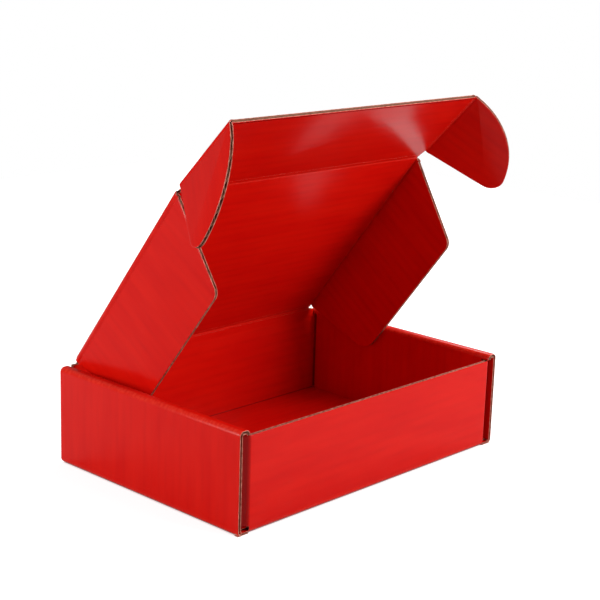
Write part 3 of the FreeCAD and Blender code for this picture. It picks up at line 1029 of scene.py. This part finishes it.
    def front_path(self) -> Path:
        """The front wall and its corner flaps, whose pressed corners take two part folds each.

        Returns:
            The path, seen from above.
        """
        flap_end = self.corner_flap - self.depth / 2 + BOARD.half
        half = [(self.corner_x, flap_end), (self.corner_x, -self.front_fold_y),
                (self.front_fold_x, -self.depth / 2)]
        outside = np.array([(-x, y) for x, y in half] + half[::-1])
        middle = inset_outline(outside, BOARD.half)[::-1]
        wall = bent_path([tuple(spot) for spot in middle])
        # Painted shade: a crease value below 0 darkens the outside of the corner folds and flaps,
        # and their inside takes the score's lighter colour.
        beyond = np.abs(wall.places[:, 0]) - self.front_fold_x + BOARD.bend
        wall.crease[:] = -np.clip(beyond / (2 * BOARD.bend), 0.0, 1.0)
        return wall

    def add_toes(self, start: float, wall_y: float, top: float) -> None:
        """Adds the slivers of board that are left below the back corner flaps.

        Args:
            start: where they start, beside the wall's foot.
            wall_y: the middle of the back wall's board.
            top: where they end, under the flaps.
        """
        end = self.corner_x - self.toe_gap
        for side in Side:
            toe = bent_path([(side * start, wall_y), (side * end, wall_y)])
            BentSheet(toe, BOARD.half, top, (0, 1, 2), Flutes.ALONG_PATH,
                      board_at=(0.0, 80.0), inside=-int(side)).add_to(self.mesh)

    def add_hinge_strip(self) -> None:
        """Adds the top of the back wall, between the rolled walls."""
        half_x = self.inner_x - 2 * BOARD.ply_gap
        y = self.depth / 2 - BOARD.half
        strip = bent_path([(y, self.wall_top - BOARD.crush_reach), (y, self.height)])
        BentSheet(strip, -half_x, half_x, (1, 2, 0), Flutes.ACROSS_PATH, cut_low=True,
                  cut_high=True, board_at=(0.0, 140.0)).add_to(self.mesh)


@dataclass
class Lid:
    """The lid with its side flaps, its tuck flap and that flap's ears."""

    joints: dict[str, dict]
    tray: Tray
    seam: float = 0.25
    closed_square: float = 90.0
    closed_flap: float = 105.0
    tuck_play: float = 0.4
    floor_play: float = 0.5
    tuck_round: float = 0.4
    neck_rise: float = 2.2
    neck_slant: float = 3.0
    flap_start: float = 2.4
    flap_end: float = 2.3
    flap_reach: float = 54.5
    flap_back_slant: float = 13.0
    flap_front_slant: float = 23.5
    flap_back_round: float = 13.0
    flap_front_round: float = 7.0
    ear_start: float = 5.4
    ear_round: float = 9.0
    ear_tip_out: float = 42.5
    ear_tip_down: float = 18.4
    ear_straight: float = 0.3
    ear_tip_steps: int = 16
    ear_arc_steps: int = 40

    def __post_init__(self) -> None:
        """Works out the panels' places from the joints."""
        self.origin = self.at("lid_hinge")
        self.lid_y = self.axis("side_flap_left_crease")
        self.tuck_y = self.axis("ear_left_crease")
        self.length = self.tray.depth - 2 * BOARD.thickness - self.tuck_play
        self.tuck_length = self.origin[2] - BOARD.thickness - self.floor_play
        self.flap_x = self.at("side_flap_right_crease")[0]
        self.ear_x = self.at("ear_right_crease")[0]
        self.lid_x = self.flap_x - BOARD.half - self.seam
        self.tuck_x = self.ear_x - BOARD.half - self.seam

    def at(self, joint: str) -> np.ndarray:
        """Where a joint is, in millimetres."""
        return np.array(self.joints[joint]["pos_m"]) / MM

    def axis(self, joint: str) -> np.ndarray:
        """A joint's direction."""
        return np.array(self.joints[joint]["axis"], float)

    def rest_fold(self, joint: str, closed: float) -> float:
        """A crease's fold at rest, in radians, from its fold when closed and its lower limit."""
        return math.radians(closed + self.joints[joint]["range_deg"][0])

    @staticmethod
    def place(origin: np.ndarray, y_axis: np.ndarray, fold: float = 0.0) -> Matrix:
        """A panel's place, with its x turned about its y by the fold.

        Args:
            origin: a place on its crease.
            y_axis: the direction of its own y.
            fold: in radians.

        Returns:
            The place, in millimetres.
        """
        x_axis = np.array([1.0, 0.0, 0.0])
        normal = np.cross(x_axis, y_axis)
        x_turned = x_axis * math.cos(fold) - normal * math.sin(fold)
        z_turned = np.cross(x_turned, y_axis)
        out = Matrix.Identity(4)
        for row in range(3):
            out[row][0], out[row][1], out[row][2] = x_turned[row], y_axis[row], z_turned[row]
            out[row][3] = origin[row]
        return out

    def build(self) -> None:
        """Makes every moving panel and the creases between them."""
        self.add_lid()
        self.add_tuck_flap()
        for side in Side:
            self.add_side_flap(side)
            self.add_ear(side)
        self.add_creases()

    def add_lid(self) -> None:
        """Adds the lid's own panel, from its hinge to the tuck crease."""
        edge = BOARD.half + self.seam
        front = -(self.length - edge)
        outline = rounded_outline([(-self.lid_x, front, 0), (self.lid_x, front, 0),
                                   (self.lid_x, -edge, 0), (-self.lid_x, -edge, 0)])
        Panel("lid", outline, self.place(self.origin, self.lid_y)).build()

    def add_tuck_flap(self) -> None:
        """Adds the tuck flap, notched at each end of its crease."""
        edge = BOARD.half + self.seam
        neck = self.neck_rise + self.neck_slant
        half = [(self.lid_x, -edge, 0), (self.lid_x, -self.neck_rise, 0),
                (self.tuck_x, -neck, 0), (self.tuck_x, -self.tuck_length, self.tuck_round)]
        outline = rounded_outline(half + [(-x, y, r) for x, y, r in reversed(half)])
        Panel("tuck_flap", outline, self.place(self.at("tuck_crease"), self.tuck_y)).build()

    def side_name(self, part: str, side: Side) -> str:
        """A piece's name with its side."""
        return part + ("_right" if side is Side.RIGHT else "_left")

    def add_side_flap(self, side: Side) -> None:
        """Adds one side flap of the lid.

        Args:
            side: left or right.
        """
        name = self.side_name("side_flap", side)
        joint = name + "_crease"
        fold = side * self.rest_fold(joint, self.closed_flap)
        tail = self.length - self.flap_end
        edge = BOARD.half
        outline = rounded_outline([
            (side * edge, -self.flap_start, 0),
            (side * self.flap_reach, -(self.flap_start + self.flap_back_slant),
             self.flap_back_round),
            (side * self.flap_reach, -(tail - self.flap_front_slant), self.flap_front_round),
            (side * edge, -tail, 0)])
        Panel(name, outline, self.place(self.at(joint), self.lid_y, fold)).build()

    def add_ear(self, side: Side) -> None:
        """Adds one rounded ear: a large arc, a round tip, and a lower edge slanting to the crease.

        Args:
            side: left or right.
        """
        name = self.side_name("ear", side)
        joint = name + "_crease"
        fold = side * self.rest_fold(joint, self.closed_square)
        inner = self.tuck_length - self.ear_round
        out, down = self.ear_tip_out, self.ear_tip_down
        middle = (inner ** 2 - out ** 2 - down ** 2) / (2 * (inner - down))
        join = math.atan2(down - middle, out)
        rise = (math.atan2(down - self.ear_start, out)
                - math.asin(self.ear_round / math.hypot(out, down - self.ear_start)))
        points = [np.array([BOARD.half, self.ear_start])]
        points += arc_points((out, down), self.ear_round, rise - math.pi / 2, join,
                             self.ear_tip_steps)
        large = arc_points((0.0, middle), self.tuck_length - middle, join, math.pi / 2,
                           self.ear_arc_steps)[1:]
        points += [p for p in large if p[0] > BOARD.half + self.ear_straight]
        points.append(np.array([BOARD.half, self.tuck_length]))
        outline = np.array([(side * p[0], -p[1]) for p in points])
        Panel(name, outline, self.place(self.at(joint), self.tuck_y, fold)).build()

    def add_creases(self) -> None:
        """Adds the scores that open and close."""
        x_axis = np.array([1.0, 0.0, 0.0])
        Crease("lid_hinge_crease", "tray", "lid", self.origin, x_axis, np.array([0.0, 0.0, 1.0]),
               self.rest_fold("lid_hinge", self.closed_square), -self.lid_x, self.lid_x,
               inner_mark=0.0).build()
        Crease("tuck_score", "lid", "tuck_flap", self.at("tuck_crease"), x_axis, -self.lid_y,
               self.rest_fold("tuck_crease", self.closed_square), -self.lid_x, self.lid_x).build()
        flap = ("side_flap", "lid", self.lid_y, self.closed_flap, self.flap_start,
                self.length - self.flap_end)
        ear = ("ear", "tuck_flap", self.tuck_y, self.closed_square, self.ear_start,
               self.tuck_length)
        for side in Side:
            for part, parent, y_axis, closed, start, end in (flap, ear):
                child = self.side_name(part, side)
                joint = child + "_crease"
                ends = (-end, -start) if side is Side.RIGHT else (start, end)
                Crease(child + "_score", parent, child, self.at(joint), side * y_axis,
                       side * x_axis, self.rest_fold(joint, closed), *ends).build()


def direction(azimuth: float, elevation: float) -> Vector:
    """The way out from the box at these angles, in degrees round it from the front and up."""
    around, above = math.radians(azimuth), math.radians(elevation)
    return Vector((math.sin(around) * math.cos(above), -math.cos(around) * math.cos(above),
                   math.sin(above)))


@dataclass(frozen=True)
class Lamp:
    """A square soft lamp aimed at the box, placed round it by angles from the front."""

    name: str
    azimuth: float
    elevation: float
    size: float
    power: float
    distance: float = 1500.0
    stand: float = 60.0
    aim: float = 80.0

    def build(self) -> None:
        """Makes the lamp."""
        data = bpy.data.lights.new(self.name, "AREA")
        data.shape = "SQUARE"
        data.size = self.size * MM
        data.energy = self.power
        out = direction(self.azimuth, self.elevation) * self.distance
        place = (out + Vector((0.0, 0.0, self.stand))) * MM
        holder = add_object(self.name, data)
        holder.location = place
        aim = Vector((0.0, 0.0, self.aim)) * MM - place
        holder.rotation_euler = aim.to_track_quat("-Z", "Y").to_euler()


@dataclass(frozen=True)
class Studio:
    """A plain white floor, soft lamps, and a camera at the photograph's angle."""

    lamps: tuple[Lamp, ...] = (
        Lamp("left_lamp", -108.0, 15.0, 800.0, 15.0),
        Lamp("front_high_lamp", 32.0, 35.0, 900.0, 12.6),
        Lamp("front_low_lamp", 22.0, 6.0, 600.0, 7.0),
        Lamp("front_top_lamp", 20.0, 60.0, 900.0, 2.6),
        Lamp("back_lamp", 110.0, 45.0, 900.0, 16.0),
    )
    white: str = "#FFFFFF"
    paper: str = "#C4C4C4"
    ambient: float = 0.14
    floor_glow: float = 0.8
    contact_mm: float = 12.0
    contact_span: Pair = (0.08, 0.38)
    camera_at: tuple[float, float, float] = (-634.21, -605.73, 322.84)
    azimuth: float = -46.842
    elevation: float = 14.369
    roll: float = -1.82
    focal_px: float = 1490.1
    image_px: float = 600.0
    sensor: float = 36.0
    floor_size: float = 1800.0

    def build(self) -> None:
        """Makes the floor, the lamps, the world and the camera."""
        bpy.context.scene.view_settings.view_transform = "Standard"
        self.add_floor()
        self.add_world()
        for lamp in self.lamps:
            lamp.build()
        self.add_camera()

    @staticmethod
    def show(tree: NodeTree, output: str, hidden: Node, seen: Node) -> None:
        """Shows one shader to the camera and another to everything else.

        Args:
            tree: the nodes of a material or a world.
            output: the type of its output node.
            hidden: the shader that lights the box.
            seen: the shader in the picture.
        """
        paths = add_node(tree, "ShaderNodeLightPath")
        mix = add_node(tree, "ShaderNodeMixShader", {
            0: paths.outputs["Is Camera Ray"], 1: hidden.outputs[0], 2: seen.outputs[0]})
        add_node(tree, output, {"Surface": mix.outputs[0]})

    def add_floor(self) -> None:
        """Adds the floor, white to the camera and pale to everything else, with a painted contact
        shadow near the box.
        """
        material = new_material("white_paper_sweep")
        tree = material.node_tree
        paper = add_node(tree, "ShaderNodeBsdfDiffuse", {"Color": srgb(self.paper)})
        # The camera's glow fades where ambient occlusion finds the box within contact_mm: a
        # painted contact shadow, dark under the box.
        near = add_node(tree, "ShaderNodeAmbientOcclusion", {"Distance": self.contact_mm * MM})
        open_floor = add_node(tree, "ShaderNodeMapRange", {
            "Value": near.outputs["AO"], "From Min": self.contact_span[0],
            "From Max": self.contact_span[1], "To Max": self.floor_glow})
        glow = add_node(tree, "ShaderNodeEmission", {
            "Color": srgb(self.white), "Strength": open_floor.outputs[0]})
        both = add_node(tree, "ShaderNodeAddShader", {0: paper.outputs[0], 1: glow.outputs[0]})
        self.show(tree, "ShaderNodeOutputMaterial", paper, both)
        half = self.floor_size / 2 * MM
        mesh = bpy.data.meshes.new("floor")
        mesh.from_pydata([(-half, -half, 0), (half, -half, 0), (half, half, 0), (-half, half, 0)],
                         [], [(0, 1, 2, 3)])
        mesh.materials.append(material)
        add_object("floor", mesh)

    def add_world(self) -> None:
        """Lights from all round, and shows white behind the floor."""
        world = bpy.data.worlds.new("studio")
        world.use_nodes = True
        tree = world.node_tree
        tree.nodes.clear()
        hidden, seen = [add_node(tree, "ShaderNodeBackground", {
            "Color": srgb(self.white), "Strength": level}) for level in (self.ambient, 1.0)]
        self.show(tree, "ShaderNodeOutputWorld", hidden, seen)
        bpy.context.scene.world = world

    def add_camera(self) -> None:
        """Adds the camera where the photograph was taken from."""
        back = direction(self.azimuth, self.elevation)
        level = Vector((0, 0, 1)).cross(back).normalized()
        above = back.cross(level)
        roll = math.radians(self.roll)
        right = math.cos(roll) * level - math.sin(roll) * above
        up = math.sin(roll) * level + math.cos(roll) * above
        data = bpy.data.cameras.new("camera")
        data.sensor_width = self.sensor
        data.lens = self.focal_px / self.image_px * self.sensor
        camera = add_object("camera", data)
        turn = Matrix((right, up, back)).transposed().to_4x4()
        camera.matrix_world = Matrix.Translation(Vector(self.camera_at) * MM) @ turn
        bpy.context.scene.camera = camera


def main() -> None:
    """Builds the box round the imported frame, then the studio."""
    logging.basicConfig(level=logging.INFO, format="%(message)s")
    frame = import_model()
    for finish in FINISHES:
        finish.material()
    low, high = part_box("tray")
    size = (high - low) / MM
    tray = Tray(size.x, size.y, size.z)
    joints = {joint["name"]: joint for joint in frame["joints"]}
    tray.build()
    Lid(joints, tray).build()
    Studio().build()


if __name__ == "__main__":
    main()
